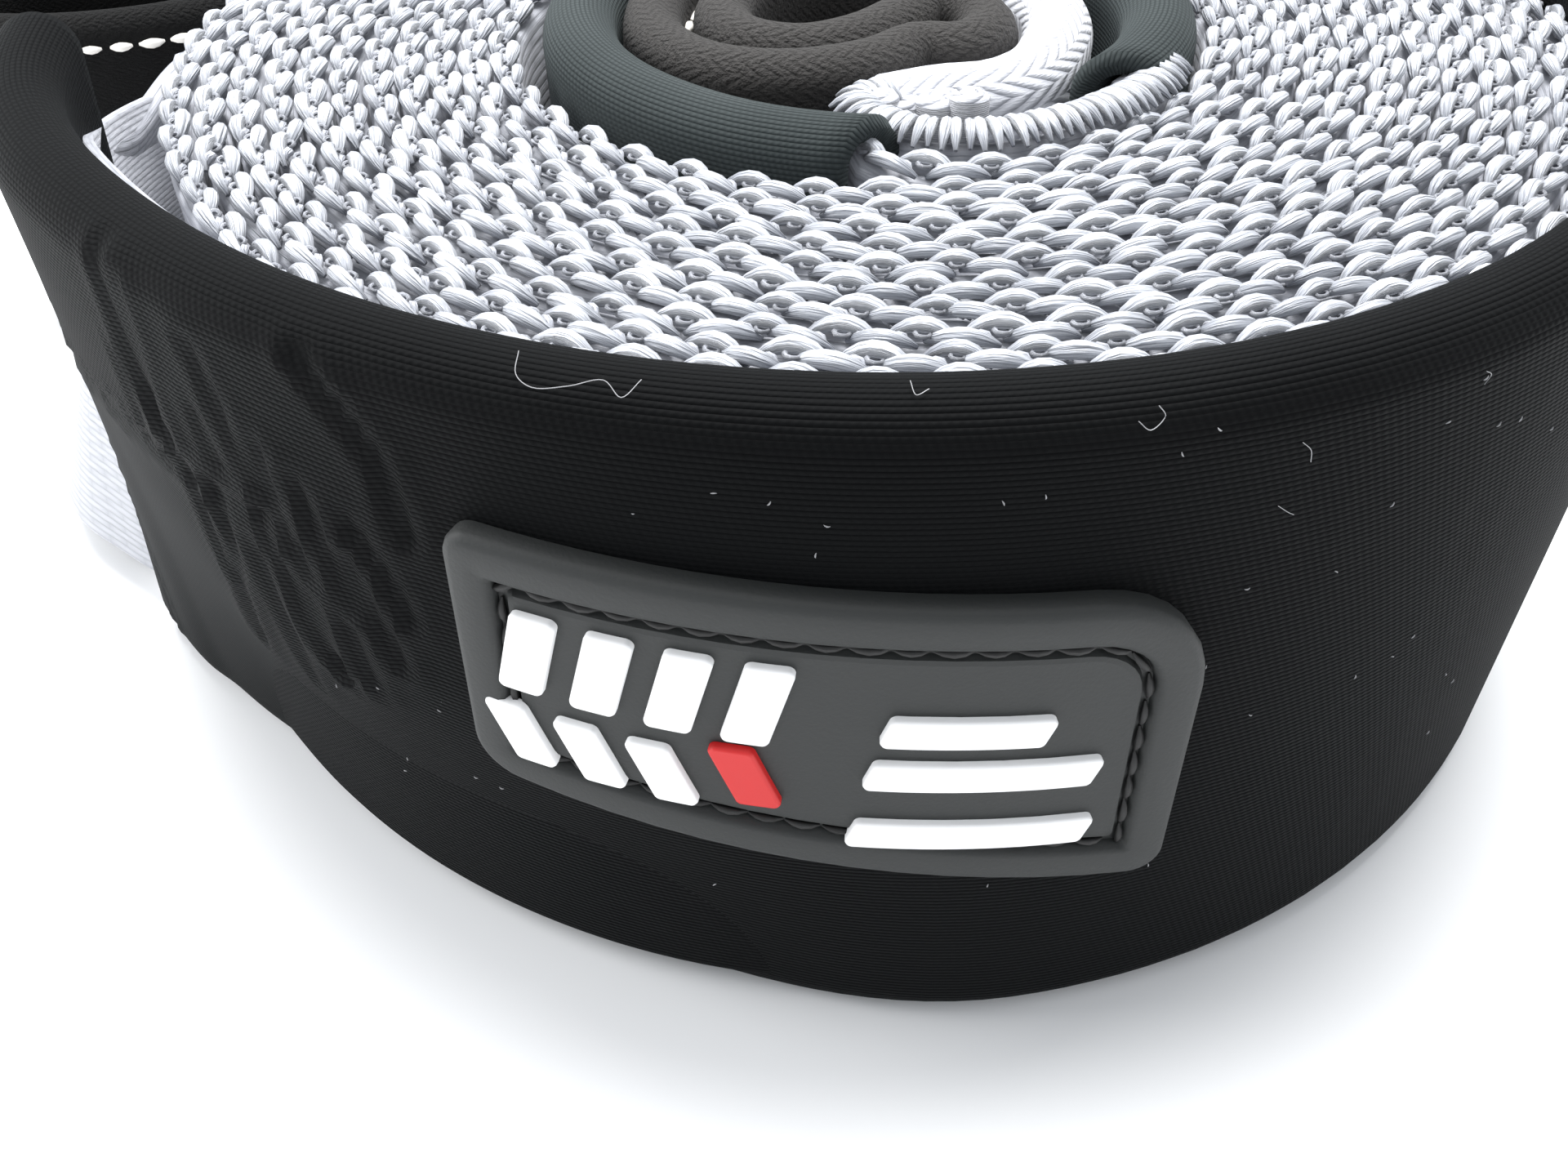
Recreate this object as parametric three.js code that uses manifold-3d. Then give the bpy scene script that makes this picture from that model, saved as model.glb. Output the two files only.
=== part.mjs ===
// A tow strap, rolled up and lying on the edges of its webbing, in millimetres with +Z up.
// The roll's axis is upright. Angles are plan angles in degrees about that axis: 0 is +X, the right
// of the roll, and 270 is its front. The strap is wound anticlockwise from the bore outwards.
import * as THREE from 'three';
import { mergeVertices } from 'three/addons/utils/BufferGeometryUtils.js';
import Module from 'manifold-3d';

const wasm = await Module();
wasm.setup();

// The webbing and its roll
const webbingWidth = 75;
const webbingThickness = 3.2;
const turnPitch = 3.64;
const turnCount = 12;
const turnGroove = 1.2;
const turnGrooveDepth = 1.4;
const arcSteps = 48;

// The neoprene sleeves and the textile guards of the eyes
const sleeveWall = 2.6;
const sleeveCorner = 2.4;
const guardWall = 1;
const guardCorner = 0.8;
const clearance = 0.3;
const innerSleeveBore = 31;
const drawnBore = 31;
const innerSleeveStart = -39;
const innerSleeveEnd = 268;
const outerSleeveStart = 198;
const outerSleeveEnd = 425;
const tubeOpening = 12;

// The throats, where an eye is folded and sewn
const throatThickness = 7;
const outerEyeWidth = 56;

// The badge
const badgeThickness = 2.6;
const badgeOutline = [
    { along: -38, up: 37, radius: 5 },
    { along: 27.5, up: 26, radius: 3 },
    { along: 27, up: 62.5, radius: 11 },
    { along: -36.5, up: 66.5, radius: 2.5 },
];

const radians = THREE.MathUtils.degToRad;
const arcStep = 360 / arcSteps;
const tubeHollow = webbingThickness + 2 * clearance;
const sleeveLift = sleeveWall + clearance;
const guardLift = guardWall + clearance;
const innerSleeveMiddle = innerSleeveBore + sleeveWall + tubeHollow / 2;
const coilBore = innerSleeveMiddle + tubeHollow / 2 + sleeveWall + clearance;
const coilRadius = coilBore + turnCount * turnPitch;
const outerSleeveMiddle = coilRadius + clearance + sleeveWall + tubeHollow / 2;
const sleeveOuterRadius = outerSleeveMiddle + tubeHollow / 2 + sleeveWall;

// The inner eye lies folded in the sleeve's bore, so its path grows and shrinks with that bore.
const nestScale = innerSleeveBore / drawnBore;

function solid(geometry) {
    const bare = geometry.index ? geometry.toNonIndexed() : geometry;
    bare.deleteAttribute('normal');
    bare.deleteAttribute('uv');
    const merged = mergeVertices(bare, 1e-4);
    const mesh = new wasm.Mesh({
        numProp: 3,
        vertProperties: Float32Array.from(merged.attributes.position.array),
        triVerts: Uint32Array.from(merged.index.array),
    });
    return new wasm.Manifold(mesh);
}

function geometryOf(manifold) {
    const { vertProperties, triVerts } = manifold.getMesh();
    const geometry = new THREE.BufferGeometry();
    geometry.setAttribute('position', new THREE.BufferAttribute(vertProperties, 3));
    geometry.setIndex(new THREE.BufferAttribute(triVerts, 1));
    const flat = geometry.toNonIndexed();
    flat.computeVertexNormals();
    return flat;
}

// A station is one place on the strap's path: the middle of its lower and of its upper edge.
function station(x, y, lift, width = webbingWidth, topX = x, topY = y) {
    const lean = Math.hypot(topX - x, topY - y);
    const height = Math.sqrt(width ** 2 - lean ** 2);
    return {
        low: new THREE.Vector3(x, y, lift),
        high: new THREE.Vector3(topX, topY, lift + height),
    };
}

function onArc(angle, radius, lift, topRadius = radius) {
    const cos = Math.cos(radians(angle));
    const sin = Math.sin(radians(angle));
    return station(radius * cos, radius * sin, lift, webbingWidth, topRadius * cos, topRadius * sin);
}

function arc(from, to, radius, lift) {
    const stations = [];
    const steps = Math.round(Math.abs(to - from) / arcStep);
    for (let i = 0; i <= steps; i++) {
        stations.push(onArc(from + (to - from) * i / steps, radius, lift));
    }
    return stations;
}

function curve(points, steps) {
    const path = new THREE.CatmullRomCurve3(points, false, 'centripetal');
    return Array.from({ length: steps + 1 }, (unused, i) => path.getPoint(i / steps));
}

// The section of a band at a station, with its corners cut off, grown by a margin at each edge
function section(stations, i, thickness, margin, corner) {
    const { low, high } = stations[i];
    const before = stations[Math.max(i - 1, 0)];
    const after = stations[Math.min(i + 1, stations.length - 1)];
    const up = high.clone().sub(low).normalize();
    const ahead = after.low.clone().add(after.high).sub(before.low).sub(before.high);
    const side = ahead.cross(up).setZ(0).normalize();
    const outline = corner > 0
        ? [[-1, -1, 1, 0], [1, -1, -1, 0], [1, -1, 0, 1], [1, 1, 0, -1],
            [1, 1, -1, 0], [-1, 1, 1, 0], [-1, 1, 0, -1], [-1, -1, 0, 1]]
        : [[-1, -1, 0, 0], [1, -1, 0, 0], [1, 1, 0, 0], [-1, 1, 0, 0]];
    return outline.map(([across, along, cutAcross, cutAlong]) => {
        const edge = along < 0 ? low : high;
        return edge.clone()
            .addScaledVector(side, across * thickness / 2 + cutAcross * corner)
            .addScaledVector(up, along * margin + cutAlong * corner);
    });
}

// A closed band through the stations
function band(stations, thickness, margin = 0, corner = 0) {
    const rings = stations.map((place, i) => {
        const depth = Array.isArray(thickness) ? thickness[i] : thickness;
        return section(stations, i, depth, margin, corner);
    });
    const positions = [];
    const face = (...corners) => corners.forEach((p) => positions.push(p.x, p.y, p.z));
    const sides = rings[0].length;
    for (let i = 0; i + 1 < rings.length; i++) {
        for (let k = 0; k < sides; k++) {
            const next = (k + 1) % sides;
            face(rings[i][k], rings[i + 1][k], rings[i + 1][next]);
            face(rings[i][k], rings[i + 1][next], rings[i][next]);
        }
    }
    const last = rings.at(-1);
    for (let k = 1; k + 1 < sides; k++) {
        face(rings[0][0], rings[0][k], rings[0][k + 1]);
        face(last[0], last[k + 1], last[k]);
    }
    const geometry = new THREE.BufferGeometry();
    geometry.setAttribute('position', new THREE.Float32BufferAttribute(positions, 3));
    return solid(geometry);
}

function lengthened(stations, reach) {
    const shifted = (from, toward) => {
        const step = from.low.clone().sub(toward.low).setZ(0).setLength(reach);
        return { low: from.low.clone().add(step), high: from.high.clone().add(step) };
    };
    return [
        shifted(stations[0], stations[1]),
        ...stations,
        shifted(stations.at(-1), stations.at(-2)),
    ];
}

function tube(stations, wall, corner) {
    const outside = band(stations, tubeHollow + 2 * wall, wall + clearance, corner);
    const hollow = band(lengthened(stations, tubeOpening), tubeHollow, clearance);
    return outside.subtract(hollow);
}

// The path, from the inner eye outwards
const innerEyePath = curve([
    [8, 21.6], [-3, 25.4], [-13, 23.6], [-22, 16], [-26.3, 4], [-25, -8], [-18, -16.5], [-9, -18.5],
    [0, -15.5], [5.5, -10.6], [10.6, -10.6], [14.2, -6], [13, 0], [8, 2.2], [3.5, -2.4], [-1.5, -8],
    [-8, -11], [-14.5, -8.5], [-17.8, -1], [-16, 8], [-9, 15.2], [0, 17], [9, 16],
].map(([x, y]) => new THREE.Vector3(x * nestScale, y * nestScale, guardLift)), 66)
    .map((p) => station(p.x, p.y, p.z));

const innerThroatPath = curve([
    [27.6, -22.3], [22.5, -25.6], [13.5, -28.6], [4, -28.9], [-2.6, -26.8], [-2.4, -23.2], [4, -21.9],
    [12.6, -19.4], [19.4, -12.4], [22.9, -3.4], [22.3, 7], [16.5, 15.6], [8, 19.2],
].map(([x, y]) => new THREE.Vector3(x * nestScale, y * nestScale, 0)), 40);

const innerThroat = innerThroatPath.map((p, i) => {
    const share = i / (innerThroatPath.length - 1);
    return station(p.x, p.y, THREE.MathUtils.lerp(sleeveLift, guardLift, share));
});
const innerThroatThickness = innerThroat.map((place, i) => {
    const share = THREE.MathUtils.smoothstep(i / innerThroat.length, 0.5, 0.7);
    return THREE.MathUtils.lerp(webbingThickness, throatThickness, share);
});

const inInnerSleeve = arc(innerSleeveStart, innerSleeveEnd, innerSleeveMiddle, sleeveLift);

const firstTurn = curve([
    new THREE.Vector3(innerSleeveEnd, innerSleeveMiddle, sleeveLift),
    new THREE.Vector3(285, innerSleeveMiddle + 1.6, 0.7 * sleeveLift),
    new THREE.Vector3(302, coilBore - 0.4, 0.3 * sleeveLift),
    new THREE.Vector3(318, coilBore + 0.6 * webbingThickness, 0),
    new THREE.Vector3(345, coilBore + 0.8 * webbingThickness, 0),
], 14).map((p) => onArc(p.x, p.y, Math.max(p.z, 0)));

// The last turn bulges out at the left and leans against the roll there.
const lastTurnRadius = coilRadius - webbingThickness / 2;
const bulge = [
    { angle: 112, low: 0, high: 0 },
    { angle: 124, low: 2.5, high: 2 },
    { angle: 138, low: 15, high: 8 },
    { angle: 150, low: 23, high: 11 },
    { angle: 161, low: 29, high: 12 },
    { angle: 171, low: 37, high: 13.5 },
    { angle: 179, low: 43, high: 13.5 },
    { angle: 186, low: 37, high: 13 },
    { angle: 192, low: 26, high: 12 },
    { angle: 200, low: 13.5, high: 10.6 },
    { angle: 209, low: 7.5, high: 8 },
];
const bulgePoints = bulge.map(({ angle, low, high }) => (
    new THREE.Vector3(angle, lastTurnRadius + low, lastTurnRadius + high)
));
bulgePoints.push(new THREE.Vector3(225, outerSleeveMiddle, outerSleeveMiddle));
const peelOff = curve(bulgePoints, 40).map((p) => {
    const lift = sleeveLift * THREE.MathUtils.smoothstep(p.x, 112, 190);
    return onArc(p.x, p.y, lift, p.z);
});

const roundTheRoll = arc(225, 450, outerSleeveMiddle, sleeveLift).slice(1);

const outerEyeCurve = curve([
    [0, outerSleeveMiddle], [-22, 89], [-44, 88.5], [-66, 82], [-86, 70], [-101, 58], [-114, 50],
    [-128, 46.5], [-142, 48], [-149.5, 57], [-144, 67], [-128, 73.5], [-106, 81], [-84, 89],
    [-62, 93.5], [-42, 93.6], [-20, 92.6],
].map(([x, y]) => new THREE.Vector3(x, y, 0)), 64);
const outerEyePath = outerEyeCurve.map((p) => {
    const share = THREE.MathUtils.smoothstep(-p.x, 0, 62);
    const lift = THREE.MathUtils.lerp(sleeveLift, guardLift, share);
    return station(p.x, p.y, lift, THREE.MathUtils.lerp(webbingWidth, outerEyeWidth, share));
});

function roll() {
    const flat = turnPitch - turnGroove;
    const upper = [];
    for (let turn = 0; turn < turnCount; turn++) {
        const start = coilBore + turn * turnPitch;
        upper.push([start + turnGroove / 2, webbingWidth], [start + turnGroove / 2 + flat, webbingWidth]);
        upper.push([start + turnPitch, webbingWidth - turnGrooveDepth]);
    }
    upper.unshift([coilBore, webbingWidth - turnGrooveDepth]);
    const lower = upper.map(([radius, height]) => [radius, webbingWidth - height]);
    const profile = [...lower, ...upper.reverse(), lower[0]].map(([r, h]) => new THREE.Vector2(r, h));
    return solid(new THREE.LatheGeometry(profile, arcSteps).rotateX(Math.PI / 2));
}

function webbing() {
    const strap = [
        band(innerEyePath, webbingThickness),
        band(innerThroat, innerThroatThickness),
        band([innerThroat[0], ...inInnerSleeve, ...firstTurn.slice(1)], webbingThickness),
        band([...peelOff, ...roundTheRoll, ...outerEyePath.slice(1)], webbingThickness),
    ];
    return strap.reduce((whole, piece) => whole.add(piece), roll());
}

function outerSleeve() {
    const covered = peelOff.filter((place) => angleOf(place) >= outerSleeveStart);
    const turn = arc(225, outerSleeveEnd, outerSleeveMiddle, sleeveLift).slice(1);
    return tube([...covered, ...turn], sleeveWall, sleeveCorner);
}

function angleOf({ low }) {
    return (THREE.MathUtils.radToDeg(Math.atan2(low.y, low.x)) + 360) % 360;
}

// The badge's outline with round corners, its length laid along the sleeve's curve
function badgeShape() {
    const corners = badgeOutline.map(({ along, up, radius }) => {
        const across = sleeveOuterRadius * Math.sin(along / sleeveOuterRadius);
        return { at: new THREE.Vector2(across, up), radius };
    });
    const shape = new THREE.Shape();
    corners.forEach(({ at, radius }, i) => {
        const before = corners.at(i - 1).at;
        const after = corners[(i + 1) % corners.length].at;
        const enter = at.clone().add(before.clone().sub(at).setLength(radius));
        const leave = at.clone().add(after.clone().sub(at).setLength(radius));
        if (i === 0) {
            shape.moveTo(enter.x, enter.y);
        } else {
            shape.lineTo(enter.x, enter.y);
        }
        shape.quadraticCurveTo(at.x, at.y, leave.x, leave.y);
    });
    shape.closePath();
    return shape;
}

function badge() {
    const inside = sleeveOuterRadius + clearance;
    const profile = [[inside, 0], [inside + badgeThickness, 0],
        [inside + badgeThickness, webbingWidth], [inside, webbingWidth], [inside, 0]];
    const lathe = new THREE.LatheGeometry(profile.map(([r, h]) => new THREE.Vector2(r, h)), arcSteps);
    const shell = solid(lathe.rotateX(Math.PI / 2));
    const depth = inside + 2 * badgeThickness;
    const prism = new THREE.ExtrudeGeometry(badgeShape(), { depth, bevelEnabled: false, curveSegments: 6 });
    return shell.intersect(solid(prism.rotateX(Math.PI / 2)));
}

const lightWebbing = new THREE.MeshStandardMaterial({ color: 0xc3c7d0, roughness: 0.7 });
const blackNeoprene = new THREE.MeshStandardMaterial({ color: 0x141517, roughness: 0.85 });
const slateNeoprene = new THREE.MeshStandardMaterial({ color: 0x232a2c, roughness: 0.85 });
const softRubber = new THREE.MeshStandardMaterial({ color: 0x2c302e, roughness: 0.6 });
const blackTextile = new THREE.MeshStandardMaterial({ color: 0x101112, roughness: 0.95 });
const greyTextile = new THREE.MeshStandardMaterial({ color: 0x35363a, roughness: 0.95 });

const strap = new THREE.Group();
function place(name, manifold, material) {
    const mesh = new THREE.Mesh(geometryOf(manifold), material);
    mesh.name = name;
    strap.add(mesh);
}

place('webbing', webbing(), lightWebbing);
place('outer_sleeve', outerSleeve(), blackNeoprene);
place('inner_sleeve', tube(inInnerSleeve, sleeveWall, sleeveCorner), slateNeoprene);
place('badge', badge(), softRubber);
place('outer_eye_guard', tube(outerEyePath.slice(16, 56), guardWall, guardCorner), blackTextile);
place('inner_eye_guard', tube(innerEyePath.slice(5, 62), guardWall, guardCorner), greyTextile);

// The origin is at the middle of the whole part's lowest face.
const box = new THREE.Box3().setFromObject(strap);
strap.position.set(-(box.min.x + box.max.x) / 2, -(box.min.y + box.max.y) / 2, -box.min.z);

export default strap;
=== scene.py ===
# %% [markdown]
# # A rolled tow strap
#
# A tow strap is one long band of heavy webbing with an eye sewn at each end. This one is wound into
# a roll that lies on the edges of its webbing. Neoprene sleeves cover its first and its last turn,
# and textile guards cover its eyes. The construction comes packed as a fixed frame, and this script
# dresses it: it makes the woven edges, the soft sleeves, the badge and the stitches.

# %% The frame
import math
import random

import bpy
import numpy as np
from mathutils import Matrix, Vector
from mathutils.geometry import delaunay_2d_cdt


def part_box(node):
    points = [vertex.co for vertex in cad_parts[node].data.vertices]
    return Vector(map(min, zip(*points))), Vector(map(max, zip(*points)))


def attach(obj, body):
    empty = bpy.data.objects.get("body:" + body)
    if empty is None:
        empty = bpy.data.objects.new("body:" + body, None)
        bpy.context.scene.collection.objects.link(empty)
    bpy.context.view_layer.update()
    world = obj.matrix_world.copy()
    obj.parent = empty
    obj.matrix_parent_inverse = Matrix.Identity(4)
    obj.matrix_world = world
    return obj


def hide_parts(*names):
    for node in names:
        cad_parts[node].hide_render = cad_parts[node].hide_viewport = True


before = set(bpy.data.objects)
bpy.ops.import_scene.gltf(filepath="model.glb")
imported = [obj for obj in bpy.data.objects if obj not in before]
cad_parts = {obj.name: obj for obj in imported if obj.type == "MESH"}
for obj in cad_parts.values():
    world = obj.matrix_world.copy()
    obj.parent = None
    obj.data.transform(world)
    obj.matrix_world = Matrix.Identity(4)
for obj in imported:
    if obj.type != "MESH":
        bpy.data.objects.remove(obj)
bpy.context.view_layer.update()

# %% [markdown]
# Sizes are in millimetres and become metres when a mesh is made. Angles are plan angles in degrees
# about the roll's axis: 0 is the right of the roll and 270 its front.

# %% The strap's sizes
MM = 0.001
WEBBING_WIDTH = 75.0
WEBBING_THICKNESS = 3.2
SLEEVE_WALL = 2.6
GUARD_WALL = 1.0
CLEARANCE = 0.3
TUBE_HOLLOW = WEBBING_THICKNESS + 2 * CLEARANCE
SLEEVE_LIFT = SLEEVE_WALL + CLEARANCE
GUARD_LIFT = GUARD_WALL + CLEARANCE
INNER_SLEEVE_RADIUS = 35.5
COIL_BORE = 40.3
COIL_RADIUS = 83.98
OUTER_SLEEVE_RADIUS = 88.78
SLEEVE_FACE_RADIUS = OUTER_SLEEVE_RADIUS + TUBE_HOLLOW / 2 + SLEEVE_WALL
OUTER_EYE_WIDTH = 56.0

sleeve_low, sleeve_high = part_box("outer_sleeve")
AXIS = np.array([sleeve_high[0] / MM - SLEEVE_FACE_RADIUS,
                 sleeve_low[1] / MM + SLEEVE_FACE_RADIUS, 0.0])
print("the roll's axis stands at", AXIS.round(2), "mm")

# %% [markdown]
# The camera stands in front of the roll and looks down on it. Its place was worked out once from the
# round edges of the roll, so it is given as plain sizes.

# %% The camera
CAMERA_FROM_AXIS = np.array([-5.016, -173.586, 138.253])
CAMERA_YAW = -0.039
CAMERA_PITCH = 0.742
CAMERA_ROLL = -0.021
CAMERA_LENS = 31.875
CAMERA_SENSOR = 36.0
CAMERA_NEAR = 0.01


def camera_turn(yaw, pitch, roll):
    level = math.cos(pitch)
    ahead = Vector((math.sin(yaw) * level, math.cos(yaw) * level, -math.sin(pitch)))
    right = ahead.cross(Vector((0, 0, 1))).normalized()
    up = right.cross(ahead)
    rolled_right = right * math.cos(roll) + up * math.sin(roll)
    rolled_up = up * math.cos(roll) - right * math.sin(roll)
    return Matrix((rolled_right, rolled_up, -ahead)).transposed()


camera_data = bpy.data.cameras.new("camera")
camera_data.lens = CAMERA_LENS
camera_data.sensor_width = CAMERA_SENSOR
camera_data.clip_start = CAMERA_NEAR
camera = bpy.data.objects.new("camera", camera_data)
bpy.context.collection.objects.link(camera)
place = Vector((AXIS + CAMERA_FROM_AXIS) * MM)
turn = camera_turn(CAMERA_YAW, CAMERA_PITCH, CAMERA_ROLL)
camera.matrix_world = Matrix.Translation(place) @ turn.to_4x4()
bpy.context.scene.camera = camera
print("camera at", tuple(round(value, 4) for value in place))

# %% [markdown]
# The room is plain: a pale floor, a broad soft light overhead and a weaker one from the left.

# %% The floor and the lights


def set_inputs(tree, node, inputs):
    """Gives a node's inputs their values, or links them to other sockets."""
    for name, value in inputs.items():
        socket = node.inputs[name]
        if isinstance(value, bpy.types.NodeSocket):
            tree.links.new(value, socket)
        else:
            socket.default_value = value


def shader_node(tree, kind, inputs=None, **settings):
    """A shader or geometry node with its settings and its inputs."""
    made = tree.nodes.new(kind)
    for name, value in settings.items():
        setattr(made, name, value)
    set_inputs(tree, made, inputs or {})
    return made


def new_material(name):
    material = bpy.data.materials.new(name)
    material.use_nodes = True
    tree = material.node_tree
    return material, tree, tree.nodes["Principled BSDF"]


def mesh_object(name, points, faces, material=None):
    mesh = bpy.data.meshes.new(name)
    mesh.from_pydata([tuple(point) for point in points], [], faces)
    mesh.validate()
    if material:
        mesh.materials.append(material)
    made = bpy.data.objects.new(name, mesh)
    bpy.context.collection.objects.link(made)
    return made


FLOOR_HALF = 3.0
FLOOR_CORNERS = [(x * FLOOR_HALF, y * FLOOR_HALF, 0) for x, y in ((-1, -1), (1, -1), (1, 1), (-1, 1))]
ROOM_COLOUR = (0.93, 0.96, 1.0, 1)
ROOM_STRENGTH = 0.95
floor_material, floor_tree, floor_shader = new_material("pale_floor")
set_inputs(floor_tree, floor_shader, {"Base Color": (0.86, 0.865, 0.87, 1), "Roughness": 0.55})
floor = mesh_object("floor", FLOOR_CORNERS, [(0, 1, 2, 3)], floor_material)


def soft_light(name, at, look_at, size, power):
    data = bpy.data.lights.new(name, "AREA")
    data.shape = "DISK"
    data.size = size
    data.energy = power
    light = bpy.data.objects.new(name, data)
    bpy.context.collection.objects.link(light)
    light.location = at
    light.rotation_euler = (Vector(look_at) - Vector(at)).to_track_quat("-Z", "Y").to_euler()
    return light


soft_light("overhead_light", (0.05, 0.28, 0.9), (0, 0, 0), 0.7, 20)
soft_light("left_light", (-0.8, 0.05, 0.5), (0, 0, 0.04), 0.5, 6)
world = bpy.data.worlds.new("room")
world.use_nodes = True
set_inputs(world.node_tree, world.node_tree.nodes["Background"],
           {"Color": ROOM_COLOUR, "Strength": ROOM_STRENGTH})
bpy.context.scene.world = world
bpy.context.scene.view_settings.view_transform = "Standard"

# %% [markdown]
# Every soft piece of the strap follows the same path. A station on that path is a pair of points,
# one on the strap's lower edge and one on its upper edge, so that a place where the strap leans is
# described as well as one where it stands upright. A curve through a few chosen points gives the
# free stretches, and a spiral gives the roll.

# %% Stations along the strap's path


def through(points, steps):
    """Points on a centripetal curve through the given ones, with some steps for each stretch."""
    points = np.array(points, float)
    padded = np.vstack([2 * points[0] - points[1], points, 2 * points[-1] - points[-2]])
    found = []
    for p0, p1, p2, p3 in zip(padded, padded[1:], padded[2:], padded[3:]):
        t1 = np.linalg.norm(p1 - p0) ** 0.5
        t2 = t1 + np.linalg.norm(p2 - p1) ** 0.5
        t3 = t2 + np.linalg.norm(p3 - p2) ** 0.5
        for t in np.linspace(t1, t2, steps, endpoint=False):
            a1 = (t1 - t) / t1 * p0 + t / t1 * p1
            a2 = (t2 - t) / (t2 - t1) * p1 + (t - t1) / (t2 - t1) * p2
            a3 = (t3 - t) / (t3 - t2) * p2 + (t - t2) / (t3 - t2) * p3
            b1 = (t2 - t) / t2 * a1 + t / t2 * a2
            b2 = (t3 - t) / (t3 - t1) * a2 + (t - t1) / (t3 - t1) * a3
            found.append((t2 - t) / (t2 - t1) * b1 + (t - t1) / (t2 - t1) * b2)
    found.append(points[-1])
    return np.array(found)


def polar_stations(angles, low_radius, high_radius, lift):
    """Stations from plan angles and the radii of both edges."""
    angles = np.radians(np.asarray(angles, float))
    low_radius, high_radius, lift = (np.broadcast_to(value, angles.shape)
                                     for value in (low_radius, high_radius, lift))
    height = np.sqrt(WEBBING_WIDTH ** 2 - (low_radius - high_radius) ** 2)
    round_trip = np.stack([np.cos(angles), np.sin(angles)], 1)
    low = np.column_stack([round_trip * low_radius[:, None], lift])
    high = np.column_stack([round_trip * high_radius[:, None], lift + height])
    return np.stack([low, high], 1)


def upright_stations(points, lift, width=WEBBING_WIDTH):
    points = np.asarray(points, float)
    lift, width = (np.broadcast_to(v, len(points)) for v in (lift, width))
    low = np.column_stack([points[:, :2], lift])
    high = np.column_stack([points[:, :2], lift + width])
    return np.stack([low, high], 1)


def lengths(stations):
    middle = stations.mean(1)
    return np.concatenate([[0], np.cumsum(np.linalg.norm(np.diff(middle, axis=0), axis=1))])


def evenly(stations, spacing, begin=0.0, end=None):
    """The same path with its stations a fixed spacing apart."""
    along = lengths(stations)
    end = along[-1] if end is None else end
    count = max(int(round((end - begin) / spacing)), 1)
    wanted = np.linspace(begin, end, count + 1)
    flat = stations.reshape(len(stations), 6)
    even = np.stack([np.interp(wanted, along, flat[:, k]) for k in range(6)], 1)
    return even.reshape(-1, 2, 3)


def unit(vectors):
    return vectors / np.linalg.norm(vectors, axis=-1, keepdims=True)


def axes_of(stations):
    """The directions ahead, outwards to the side and up at each station."""
    ahead = unit(np.gradient(stations.mean(1), axis=0))
    up = unit(stations[:, 1] - stations[:, 0])
    return ahead, unit(np.cross(ahead, up)), up


FIRST_TURN_ANGLE = 318.0
PEEL_ANGLE = 112.0
LAST_TURN_ANGLE = PEEL_ANGLE + 12 * 360.0
FIRST_TURN_RADIUS = 42.1
FRONT_TURN_RADIUS = 82.4
FRONT_TURN_ANGLE = 270.0 + 11 * 360.0
PITCH = (FRONT_TURN_RADIUS - FIRST_TURN_RADIUS) / ((FRONT_TURN_ANGLE - FIRST_TURN_ANGLE) / 360.0)
SLEEVED_FROM = 225
SLEEVED_TO = 450
SPIRAL_STEP = 2.0
SLEEVED_STEP = 2.5
ARC_END = 0.1


def turn_radius(angle):
    return FIRST_TURN_RADIUS + PITCH * (angle - FIRST_TURN_ANGLE) / 360.0


INNER_EYE_ROUTE = [
    (8, 21.6), (-3, 25.4), (-13, 23.6), (-22, 16), (-26.3, 4), (-25, -8), (-18, -16.5), (-9, -18.5),
    (0, -15.5), (5.5, -10.6), (10.6, -10.6), (14.2, -6), (13, 0), (8, 2.2), (3.5, -2.4), (-1.5, -8),
    (-8, -11), (-14.5, -8.5), (-17.8, -1), (-16, 8), (-9, 15.2), (0, 17), (9, 16),
]
# Each row of the bulge is an angle, how far the lower and the upper edge stand off, and a drop.
BULGE = [
    (PEEL_ANGLE, 0, 0, 0), (124, 2.5, 2, 0), (138, 15, 8, 1), (150, 23, 11, 4), (161, 29, 12, 8),
    (171, 37, 13.5, 9), (179, 43, 13.4, 9), (186, 37, 12.6, 8), (192, 26, 11.3, 6),
    (200, 13.5, 9.2, 3), (209, 7.5, 6.8, 1),
]
BULGE_TOP_LEAN = 1.2
OUTER_EYE_ROUTE = [
    (0, OUTER_SLEEVE_RADIUS), (-22, 89), (-44, 88.5), (-66, 82), (-86, 70), (-101, 58), (-114, 50),
    (-128, 46.5), (-142, 48), (-149.5, 57), (-144, 67), (-128, 73.5), (-106, 81), (-84, 89),
    (-62, 93.5), (-42, 93.6), (-20, 92.6),
]


def smooth(value, low, high):
    t = np.clip((np.asarray(value, float) - low) / (high - low), 0, 1)
    return t * t * (3 - 2 * t)


def spiral_stations():
    angles = np.arange(FIRST_TURN_ANGLE, LAST_TURN_ANGLE, SPIRAL_STEP)
    radius = turn_radius(angles)
    return polar_stations(angles, radius, radius, 0.0)


def first_turn_stations():
    """The strap between the inner sleeve and the roll: angle, radius and lift."""
    rows = through([(268, INNER_SLEEVE_RADIUS + 2.6, 1.2), (276, COIL_BORE + 0.6, 0.6),
                    (288, COIL_BORE + 1.5, 0.2), (302, COIL_BORE + 1.7, 0.0),
                    (FIRST_TURN_ANGLE, FIRST_TURN_RADIUS, 0.0)], 8)
    return polar_stations(rows[:, 0], rows[:, 1], rows[:, 1], np.maximum(rows[:, 2], 0))


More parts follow.
